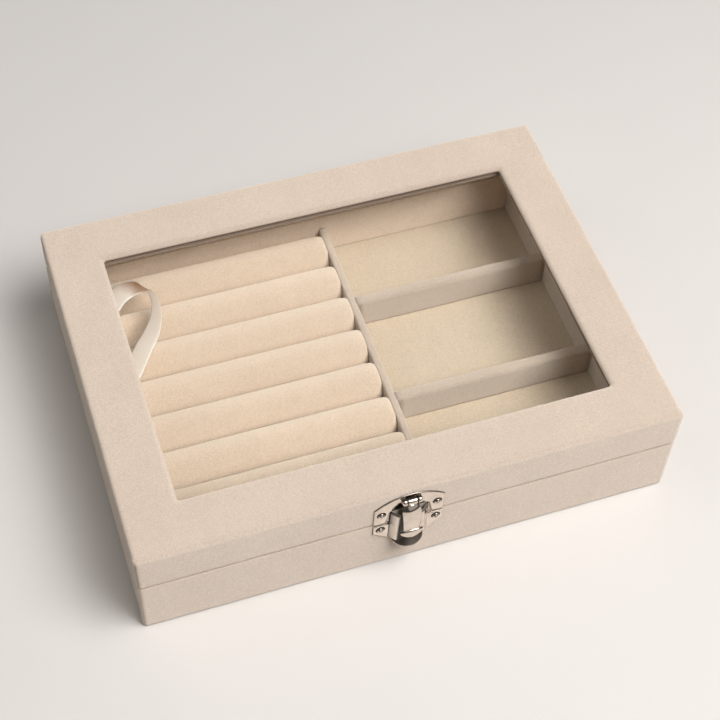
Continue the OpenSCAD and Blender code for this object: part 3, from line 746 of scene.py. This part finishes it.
def swell_cloth(made, pinned_below):
    """Runs the sleeve as cloth blown up by its foam, and keeps the result near where it began."""
    scene = bpy.context.scene
    remesh = made.modifiers.new("remesh", "REMESH")
    remesh.mode = "VOXEL"
    remesh.voxel_size = ROLL_VOXEL * MM
    apply_modifiers(made)
    start = np.array([v.co for v in made.data.vertices])
    group = made.vertex_groups.new(name="pinned")
    group.add([i for i, p in enumerate(start) if p[2] < pinned_below * MM], 1.0, "REPLACE")
    cloth = made.modifiers.new("cloth", "CLOTH")
    for key, value in CLOTH.items():
        setattr(cloth.settings, key, value)
    cloth.settings.vertex_group_mass = "pinned"
    cloth.settings.effector_weights.gravity = 0
    cloth.collision_settings.use_collision = False
    cloth.collision_settings.use_self_collision = False
    cloth.point_cache.frame_start, cloth.point_cache.frame_end = 1, CLOTH_FRAMES
    for f in range(1, CLOTH_FRAMES + 1):
        scene.frame_set(f)
    graph = bpy.context.evaluated_depsgraph_get()
    swollen = np.array([v.co for v in made.evaluated_get(graph).data.vertices])
    made.modifiers.remove(cloth)
    move = swollen - start
    length = np.linalg.norm(move, axis=1, keepdims=True)
    move *= np.minimum(1.0, ROLL_CAP * MM / np.maximum(length, 1e-9))
    for v, p in zip(made.data.vertices, start + move):
        v.co = p
    made.vertex_groups.clear()
    scene.frame_set(1)


def ring_roll(n):
    """A foam ring bar in its velvet sleeve."""
    node = f"ring_roll_{n}"
    low, high = box_mm(node)
    low[0], high[0] = low[0] - ROLL_PRESS, high[0] + ROLL_PRESS
    spare = np.array((ROLL_SPARE, 0.0, 0.0))
    points, faces = roll_blank(low - spare, high + spare)
    # The sleeve takes the lighter roll copy of the velvet: painted light.
    made = mesh_object(node + "_velvet", points, faces, ROLL_PAINTED_LIGHT, "base", "lining_velvet")
    swell_cloth(made, low[2] + ROLL_PINNED)
    smooth = made.modifiers.new("subdivision", "SUBSURF")
    smooth.levels = smooth.render_levels = 1
    apply_modifiers(made)
    soften(made, 50 + n, 0.08, 0.03)
    hold_inside(made, low, high)
    # Painted shadow of the lid's front rim on the front rolls.
    paint_shade_marks(made, lambda p: ROLL_SHADE_PAINT.get(n, 0.0))
    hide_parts(node)


for n in range(1, ROLLS + 1):
    ring_roll(n)
glass_retainer()

# ---------------------------------------------------------------- ribbon

RIBBON_FOOT = (-90.5, 0.0, 27.8)
# The centre line, from that foot to the lid's wall, as it was projected back from the photo.
RIBBON_ROUTE = (
    (0, 0, -7), (0, 0, -4), (0.2, 0.2, -1.8), (1.8, 1.9, 0.4), (8.5, 10.4, 1.2), (16.4, 21.4, 1.9),
    (20.2, 26.1, 2.3), (23.4, 31.2, 2.7), (25.4, 36.8, 3), (25.9, 42.7, 3.4), (25, 45.4, 3.7),
    (23.2, 46.3, 3.9), (21.3, 47, 4.2), (19.2, 47.9, 4.5), (15.6, 47.3, 4.9), (11.9, 44.8, 5.2),
    (7.8, 39.5, 5.4), (4.6, 31, 5.6), (3.9, 16, 6.1), (3.4, 4.6, 6.8), (1.2, 0.8, 7.9), (0.1, 0.1, 9.3),
    (0, 0, 10.8),
)
# The way across it at each of those points. Shorter than 1 is pinched, and longer is spread.
RIBBON_ACROSS = (
    (0, 1, 0), (0, 1, 0), (0, 1, 0), (-0.35, 0.93, 0), (-0.8, 0.58, 0), (-0.8, 0.51, 0), (-0.56, 0.7, 0),
    (-0.39, 0.79, 0), (-0.34, 0.78, 0), (-0.41, 0.46, 0), (-0.36, 0.01, 0), (-0.36, -0.22, 0),
    (-0.46, -0.5, 0), (-0.43, -1.01, 0), (-0.11, -1.28, 0), (0.17, -1.39, 0), (0.31, -1.24, 0),
    (0.98, -0.2, 0), (1, 0, 0), (0.85, -0.5, 0), (0.3, -0.95, 0), (0, -1, 0), (0, -1, 0),
)
# Point of the route, the painted light and shade of the satin there, and how much lighter its front edge is
# painted.
RIBBON_PAINTED_LUSTRE = (
    (0, 1.0, 0), (5, 1.0, 0), (7, 0.84, 0), (9, 0.68, 0), (10, 0.5, 0), (10.8, 0.15, 0), (12, 0.15, 0.1),
    (12.8, 0.3, 0.5), (13.6, 0.7, 0.6), (14.4, 1.0, 0.4), (15.5, 1.05, 0.2), (17, 0.95, 0), (22, 1.0, 0),
)
RIBBON_W = 7.4
RIBBON_T = 0.34
RIBBON_CUP = 0.25
RIBBON_STEPS = 10  # from one point of the route to the next
RIBBON_LANES = 13
SELVEDGE_AT, SELVEDGE_W, SELVEDGE_RISE = 0.93, 0.05, 0.06
THIN_FROM, THIN_BY = 0.94, 0.75  # its very edge


def catmull(points, i, t):
    """A place on the smooth curve through the points, t of the way from point i to the next."""
    p0, p1 = points[max(i - 1, 0)], points[i]
    p2, p3 = points[min(i + 1, len(points) - 1)], points[min(i + 2, len(points) - 1)]
    square, cube = 2 * p0 - 5 * p1 + 4 * p2 - p3, 3 * p1 - p0 - 3 * p2 + p3
    return 0.5 * ((2 * p1) + (p2 - p0) * t + square * t**2 + cube * t**3)


def strap_height(u, side):
    """Height of the strap's upper or lower face at u across it, from -1 to 1, with its beaded selvedge."""
    bead = SELVEDGE_RISE * math.exp(-(((abs(u) - SELVEDGE_AT) / SELVEDGE_W) ** 2))
    thin = 1.0 - THIN_BY * max(0.0, (abs(u) - THIN_FROM) / (1.0 - THIN_FROM))
    return side * (RIBBON_T / 2 * thin + bead) + RIBBON_CUP * u * u


def ribbon():
    """The satin stay: a strap from the base's wall, in a loop over the rolls, to the lid's wall."""
    route = [np.array(p, float) + RIBBON_FOOT for p in RIBBON_ROUTE]
    across = [np.array(p, float) for p in RIBBON_ACROSS]
    places, widths = [], []
    for i in range(len(route) - 1):
        for s in range(RIBBON_STEPS + (i == len(route) - 2)):
            places.append(catmull(route, i, s / RIBBON_STEPS))
            widths.append(catmull(across, i, s / RIBBON_STEPS))
    tangents = np.gradient(np.array(places), axis=0)
    lanes = np.linspace(-1, 1, RIBBON_LANES)
    stops, shades, leans = zip(*RIBBON_PAINTED_LUSTRE)
    rings, marks = [], {"across": [], "along": [], "lustre": []}
    run = 0.0
    for i, (p, w, t) in enumerate(zip(places, widths, tangents)):
        t = t / np.linalg.norm(t)
        out = np.cross(w, t)
        out = out / np.linalg.norm(out)
        run += np.linalg.norm(p - places[i - 1]) if i else 0.0
        shade, lean = np.interp(i / RIBBON_STEPS, stops, shades), np.interp(i / RIBBON_STEPS, stops, leans)
        section = [(u, side) for side in (1, -1) for u in lanes[::side]]
        rings.append([p + w * u * RIBBON_W / 2 + out * strap_height(u, side) for u, side in section])
        marks["across"] += [u for u, side in section]
        marks["along"] += [run] * len(section)
        marks["lustre"] += [shade + u * lean for u, side in section]
    made = mesh_object("ribbon_satin", *loft(rings), SATIN, None, "satin")
    for name, values in marks.items():
        mark_points(made, name, values)
    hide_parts("ribbon_stay")
    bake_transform(made)


ribbon()

# ---------------------------------------------------------------- metal fittings

EASE_R = 0.12
EASE_FROM = 38  # degrees that an edge turns by at least to be rounded
EASE_SHARP = 50


def eased(node, material):
    """A CAD fitting with its sharp edges rounded, as pressed and plated sheet has them."""
    mesh = nodes[node].data.copy()
    bm = bmesh.new()
    bm.from_mesh(mesh)
    bmesh.ops.remove_doubles(bm, verts=bm.verts, dist=2e-6)
    bmesh.ops.dissolve_limit(bm, angle_limit=math.radians(0.6), verts=bm.verts, edges=bm.edges)
    limit = math.radians(EASE_FROM)
    sharp = [e for e in bm.edges if len(e.link_faces) == 2 and e.calc_face_angle(0) > limit]
    bevel = {"offset": EASE_R * MM, "segments": 3, "profile": 0.5, "affect": "EDGES", "clamp_overlap": True}
    bmesh.ops.bevel(bm, geom=sharp, **bevel)
    bm.to_mesh(mesh)
    bm.free()
    if "custom_normal" in mesh.attributes:
        mesh.attributes.remove(mesh.attributes["custom_normal"])
    mesh.materials.clear()
    made = finish_piece(node + "_eased", mesh, material, nodes[node]["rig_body"])
    sharpen(made, EASE_SHARP)
    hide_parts(node)


# The clasp is drawn over the box's front: u along it from the clasp's middle, w up and n out from the velvet.
CLASP_X = -3.3
SHEET = 0.6
WING = 13.0  # half the width of both plates
NAIL_U, PLATE_NAIL_W, CATCH_NAIL_W = 10.3, 34.6, 24.9
ARCH_R, ARCH_W, ARCH_TURN = 18.0, 25.4, 0.807
LUG_U = 1.95
HUMP_TOP = 34.8
HUMP_SHEET, HUMP_EDGE = 0.55, 0.35
LIP_R, LIP_END, LIP_HALF, FOLD_HALF = 5.6, 22.78, 4.25, 3.1
HEAD_W, HEAD_HALF, NECK_HALF = 35.9, 3.7, 1.65
FACE_N, SHOULDER_W, SHOULDER_R = 4.2, 34.3, 5.0
TONGUE_EDGE, TONGUE_BACK = 0.35, 0.75
CROWN_FLAT, CROWN_LESS = 26.0, 19.5  # the crown's radius low on the strap, and by how much less at its head
KNUCKLE_N, KNUCKLE_W, KNUCKLE_R = 2.15, 42.0, 1.3
TURN_STEPS = 32
KNUCKLE_SHADE_TURNS = (1.35, 3.6)  # where round a knuckle painted shade lies, in radians
CROSS_DEPTH = 0.12


def clasp_part(name, node, body, skins, sharp=50):
    """A nickel piece of closed skins, each drawn over rings of (u, w, n, painted dark), the last from 0 to 1
    for painted shade and dark reflection.
    """
    points, faces = [], []
    for rings in skins:
        skin, sides = loft(rings)
        faces += [tuple(len(points) + k for k in face) for face in sides]
        points += skin
    places = [(CLASP_X + u, -HALF_Y - n, w) for u, w, n, _ in points]
    made = mesh_object(name, places, faces, NICKEL, body, "nickel")
    mark_points(made, "grime", [p[3] for p in points])
    sharpen(made, sharp)
    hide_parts(node)


def rounded(path, radius):
    """An open path with its corners rounded."""
    path = np.array(path, float)
    out = [path[0]]
    for before, corner, after in zip(path, path[1:], path[2:]):
        a, b = before - corner, after - corner
        reach = min(radius, 0.48 * np.linalg.norm(a), 0.48 * np.linalg.norm(b))
        a, b = corner + a / np.linalg.norm(a) * reach, corner + b / np.linalg.norm(b) * reach
        out += [(1 - t) ** 2 * a + 2 * t * (1 - t) * corner + t * t * b for t in np.linspace(0, 1, 9)]
    return np.array(out + [path[-1]])


def inset(outline, by):
    """A closed outline, anticlockwise, moved inwards."""
    run = np.roll(outline, -1, axis=0) - outline
    normal = np.stack([-run[:, 1], run[:, 0]], axis=1) / np.linalg.norm(run, axis=1, keepdims=True)
    mean = normal + np.roll(normal, 1, axis=0)
    return outline + by * mean * 2 / np.maximum((mean**2).sum(axis=1, keepdims=True), 0.5)


def pressed(outline, edge):
    """Flat sheet with its front edge rounded to this radius: its back and sides painted dark, fading out
    round the edge onto the face, as painted shade and dark reflection.
    """
    rings = [[(u, w, 0.0, 1.0) for u, w in outline]]
    for a in np.radians(np.linspace(0, 90, 7)):
        at = inset(outline, edge * (1 - math.cos(a)))
        rings.append([(u, w, SHEET - edge + edge * math.sin(a), 0.75 * math.cos(a) ** 2) for u, w in at])
    return rings


def turned(profile, centre, axis):
    """A skin turned from (radius, distance along the axis, painted dark): about u a knuckle, about n a nail.
    """
    rings = []
    for r, h, grime in profile:
        ring = []
        for k in range(TURN_STEPS):
            a = 2 * math.pi * k / TURN_STEPS
            across, up = r * math.cos(a), r * math.sin(a)
            # A nail's pressed cross is sunk and painted dark, as shade in its recess; the back of a knuckle
            # is painted dark, as shade.
            in_cross = 0.2 < r < 1.2 and (k + 5) % 8 < 3
            if axis == "u":
                shade_behind = 0.95 if KNUCKLE_SHADE_TURNS[0] < a < KNUCKLE_SHADE_TURNS[1] else 0.0
                move, shade = (h, up, across), max(grime, shade_behind)
            elif in_cross:
                move, shade = (across, up, h - CROSS_DEPTH), 0.9
            else:
                move, shade = (across, up, h), grime
            ring.append((*(c + m for c, m in zip(centre, move)), shade))
        rings.append(ring)
    return rings


def clasp_plate():
    """The arched upper plate with its mouth and its two rolled lugs."""
    turns = np.linspace(ARCH_TURN, -ARCH_TURN, 41)
    arch = [(ARCH_R * math.sin(a), ARCH_W + ARCH_R * math.cos(a)) for a in turns]
    mouth = rounded([(-8.5, 28.6), (-7.4, 34.2), (-7.0, 35.4), (7.0, 35.4), (7.4, 34.2), (8.5, 28.6)], 1.0)
    outline = [(WING, 28.6), (WING, 33.0)] + arch + [(-WING, 33.0), (-WING, 28.6)] + [tuple(p) for p in mouth]
    skins = [pressed(np.array(outline), 0.5)]
    # Painted shade and dark reflection: the lugs' ends, darkest where they face the tongue's knuckle, and
    # their feet.
    profile = [(0.5, 0, 1), (1.2, 0, 1), (KNUCKLE_R, 0.1, 0.3), (KNUCKLE_R, 0.9, 0), (1.24, 1.2, 0)]
    profile += [(1.08, 1.48, 0), (0.82, 1.66, 0.1), (0.5, 1.74, 0.3), (0.1, 1.75, 0.5)]
    for side in (-1, 1):
        lug = [(r, side * h, g) for r, h, g in profile]
        skins.append(turned(lug, (LUG_U * side, KNUCKLE_W, KNUCKLE_N), "u"))
        low, high = sorted((side * LUG_U, side * 3.6))
        foot = rounded([(low, 41.4), (low, 42.8), (high, 42.8), (high, 41.2), (low, 41.2), (low, 41.4)], 0.3)
        skins.append([[(u, w, n, 0.8) for u, w in foot] for n in (0.4, KNUCKLE_N)])
    clasp_part("clasp_plate_nickel", "clasp_plate", "lid", skins)


def share(value, start, run):
    """How far a value is past the start, from 0 to 1 over the run."""
    return max(0.0, min(1.0, (value - start) / run))


def catch_hump():
    """The hollow catch: rings of its sheet from the foot up, open below and closed to an edge at the top."""
    hump = []
    low = (18.8, 19.6, 20.6, 21.8, 23, 24.5, 26, 27.25)
    high = (27.35, 28.5, 30, 31.5, 32.8, 33.6, 34.1, 34.5, 34.7, HUMP_TOP)
    for w in low + high:
        flare = 0.03 * (HUMP_TOP - 2 - w)
        foot = (8.0, 0.5) if w in low else (7.15, 0.1)
        right = [(4.55 + flare, 3.0), (7.0 + flare, 0.6), foot]
        outer = rounded([(-u, n) for u, n in reversed(right)] + right, 0.6)
        run = np.gradient(outer, axis=0)
        normal = np.stack([run[:, 1], -run[:, 0]], axis=1) / np.linalg.norm(run, axis=1, keepdims=True)
        past = max(0.0, w - HUMP_TOP + HUMP_EDGE)
        turn_in = HUMP_EDGE - math.sqrt(max(0.0, HUMP_EDGE**2 - past**2))
        ring = []
        for (u, n), (du, dn) in zip(outer, normal):
            # Painted shade and dark reflection: on the crest beside the tongue, in the corner at its left
            # foot, at its top end and on its inside.
            crest = share(n, 2.8, 0.2) if u < 3 or w < 23.5 else 0.0
            corner = share(n, 1.0, -0.3) if u < 0 else 0.0
            end = 0.9 * share(w, 33.7, 0.5)
            ring.append((u + du * turn_in, w, n + dn * turn_in, max(crest, corner, end)))
        inside = zip(outer[::-1], normal[::-1])
        ring += [(u + du * HUMP_SHEET, w, n + dn * HUMP_SHEET, 1.0) for (u, n), (du, dn) in inside]
        hump.append(ring)
    return hump


def catch_plate():
    """The lower plate: two ears, the hollow catch that the tongue snaps over, and its flared bill."""
    outline = [(-WING, 27.3), (-WING, 22.8), (-7, 17.8), (-4, 15.8), (4, 15.8), (7, 17.8), (WING, 22.8)]
    outline += [(u, 27.3) for u in (WING, 8, 4, 0, -4, -8)]
    # The bill's upper surface and underside are painted dark, as dark reflection and shade under the tongue's
    # lip; its rim is left bright.
    profile = [(4 + 2.1 * t**1.12, 18.8 - 2.45 * t, 0.8) for t in np.linspace(0, 1, 12)]
    profile += [(6.17, 16.29, 0.0), (6.22, 16.16, 0.0), (6.2, 16.0, 0.2), (6.08, 15.9, 0.8)]
    profile += [(3.4 + 2.2 * t**1.12, 18.6 - 2.6 * t, 1.0) for t in np.linspace(1, 0, 8)]
    turns = np.linspace(-1.37, 1.37, 49)
    bill = [[(r * math.sin(a), w, r * math.cos(a) - 1.0, g) for r, w, g in profile] for a in turns]
    skins = [pressed(np.array(outline, float), 0.4), catch_hump(), bill]
    clasp_part("catch_plate_nickel", "catch_plate", "base", skins, 55)


def tongue_width(w):
    """Half the tongue's width at a height: rounded lip, straight face, round head and neck."""
    if w < 25.6:
        return min(LIP_HALF, math.sqrt(max(0.02, LIP_R**2 - (LIP_R - w + LIP_END - 0.2) ** 2)))
    if w < HEAD_W:
        return FOLD_HALF + (HEAD_HALF - FOLD_HALF) * (w - 26.0) / (HEAD_W - 26.0)
    return max(NECK_HALF, math.sqrt(max(0.0, HEAD_HALF**2 - (w - HEAD_W) ** 2)))


def tongue_spine():
    """The strap's side view as (n, w, painted dark), from its lip up over the face to the knuckle."""
    spine = [(5.35, LIP_END - 0.18, 1)]
    spine += [(5.3 - 0.21 * (w - 22.9), w, 0) for w in (22.7, 22.9, 23.2, 23.7, 24.2, 24.6, 25)]
    spine += [(4.8, 25.3, 0.5), (4.74, 25.5, 1), (4.66, 25.62, 0.5), (4.58, 25.69, 0), (4.46, 25.76, 0)]
    spine += [(4.34, 25.83, 0), (4.24, 25.93, 0), (4.2, 26.15, 0)]
    spine += [(FACE_N, w, 0) for w in np.linspace(27.2, SHOULDER_W, 9)]
    for a in np.radians(np.linspace(6, 62, 12)):
        spine.append((FACE_N - SHOULDER_R * (1 - math.cos(a)), SHOULDER_W + SHOULDER_R * math.sin(a), 0))
    return np.array(spine + [(1.5, 39.6, 0.3), (1.75, 40.2, 0.8), (2.15, 40.75, 1)])


def clasp_tongue():
    """A pressed strap with a crowned head, a stepped lip and a rolled knuckle."""
    spine = tongue_spine()
    ahead = np.gradient(spine[:, :2], axis=0)
    ahead /= np.linalg.norm(ahead, axis=1, keepdims=True)
    lanes = np.sin(np.linspace(-math.pi / 2, math.pi / 2, 23))
    rings = []
    for (n, w, grime), (dn, dw) in zip(spine, ahead):
        half = tongue_width(w)
        crown = CROWN_FLAT - CROWN_LESS * share(w, 30.5, 5.5)
        ring = []
        for u in lanes * half:
            over = max(0.0, abs(u) - (half - TONGUE_EDGE))
            drop = u * u / (2 * crown) + TONGUE_EDGE - math.sqrt(max(0.0, TONGUE_EDGE**2 - over**2))
            # Painted shade and dark reflection on the tongue's edges and its whole back.
            ring.append((u, w + drop * dn, n - drop * dw, max(grime, 0.9 if over > 0.2 else 0.0)))
        for u in lanes[::-1] * half:
            drop = TONGUE_BACK + u * u / (4 * crown)
            ring.append((u, w + drop * dn, n - drop * dw, 1.0))
        rings.append(ring)
    knuckle = [(0.5, -1.68, 1), (1.15, -1.68, 1), (1.28, -1.6, 0.6), (KNUCKLE_R, -1.45, 0)]
    knuckle += [(r, -h, g) for r, h, g in reversed(knuckle)]
    skins = [rings, turned(knuckle, (0, KNUCKLE_W, KNUCKLE_N), "u")]
    clasp_part("clasp_tongue_nickel", "clasp_tongue", "tongue", skins, 55)


def clasp_nails(name, node, body, height):
    """Two domed nails with a cross pressed into their heads."""
    # Painted dark at the dome's top centre and round its rim, as shade and dark reflection; the shank is
    # painted dark too.
    dome = [(0.02, 0.85, 0.6), (0.3, 0.96, 0), (0.6, 0.9, 0), (0.9, 0.76, 0), (1.1, 0.58, 0)]
    rim = [(1.22, 0.4, 0.5), (1.32, 0.15, 1), (1.42, 0.06, 1), (1.66, 0.05, 1), (1.78, 0.0, 0.8)]
    shank = [(0.6, -0.02, 1), (0.58, -4.3, 1)]
    skins = [turned(dome + rim + shank, (u, height, SHEET), "n") for u in (-NAIL_U, NAIL_U)]
    clasp_part(name, node, body, skins)


clasp_plate()
catch_plate()
clasp_tongue()
clasp_nails("clasp_plate_nails_domed", "clasp_plate_nails", "lid", PLATE_NAIL_W)
clasp_nails("catch_plate_nails_domed", "catch_plate_nails", "base", CATCH_NAIL_W)
eased("clasp_pin", NICKEL)
for node in sorted(nodes):
    if node.startswith("hinge_"):
        eased(node, STEEL)

# ---------------------------------------------------------------- what stays as the CAD made it


def repaint(node, material):
    """Gives a CAD node its material."""
    nodes[node].data.materials.clear()
    nodes[node].data.materials.append(material)


for node in sorted(nodes):
    if "_wall_" in node or node.endswith("_board"):
        repaint(node, BOARD)
repaint("underside_paper", PAPER)
repaint("glass_pane", GLASS)

# ---------------------------------------------------------------- studio


FLOOR_DARK, FLOOR_LIGHT = (0.795, 0.78, 0.765), (0.805, 0.79, 0.775)
LAMPS = (  # name, way to it, distance and size in metres, watts, colour
    ("key", (0.38, -0.4, 1.0), 1.25, (0.78, 0.78), 16.1, (1.0, 0.972, 0.945)),
    ("fill", (-0.85, 0.1, 1.0), 1.8, (1.5, 1.5), 5.6, (1.0, 0.965, 0.925)),
    ("front", (0.45, -1.0, 0.65), 1.9, (2.0, 1.2), 2.6, (1.0, 0.97, 0.94)),
)
LAMPS_AIM = Vector((0, 0, 0.02))
ROOM_LOW, ROOM_HIGH = (0.05, 0.046, 0.042, 1), (0.078, 0.073, 0.067, 1)


def studio():
    """A pale floor, a large soft lamp at the front right, a weak fill, a weaker front lamp and a dim room."""
    bpy.ops.mesh.primitive_plane_add(size=6.0, location=(0, 0, 0))
    ground = bpy.context.object
    ground.name = "floor"
    t = Tree("floor")
    t.set(Base_Color=t.tint(t.spread(t.grain(60.0), 0, 1), FLOOR_DARK, FLOOR_LIGHT), Roughness=0.6)
    ground.data.materials.append(t.material)

    for name, way, distance, size, watts, colour in LAMPS:
        way = Vector(way)
        data = bpy.data.lights.new(name, "AREA")
        data.shape = "RECTANGLE"
        data.size, data.size_y = size
        data.energy = watts
        data.color = colour
        lamp = bpy.data.objects.new(name, data)
        bpy.context.scene.collection.objects.link(lamp)
        lamp.location = LAMPS_AIM + way.normalized() * distance
        lamp.rotation_euler = (-way).to_track_quat("-Z", "Y").to_euler()

    world = bpy.data.worlds.new("room")
    bpy.context.scene.world = world
    world.use_nodes = True
    tree = world.node_tree
    place = tree.nodes.new("ShaderNodeTexCoord")
    parts = tree.nodes.new("ShaderNodeSeparateXYZ")
    tree.links.new(place.outputs["Generated"], parts.inputs[0])
    ramp = tree.nodes.new("ShaderNodeValToRGB")
    for element, position, colour in zip(ramp.color_ramp.elements, (0.0, 1.0), (ROOM_LOW, ROOM_HIGH)):
        element.position, element.color = position, colour
    tree.links.new(parts.outputs["Z"], ramp.inputs[0])
    tree.links.new(ramp.outputs[0], tree.nodes["Background"].inputs["Color"])
    tree.nodes["Background"].inputs["Strength"].default_value = 1.0
    bpy.context.scene.view_settings.view_transform = "Standard"


studio()
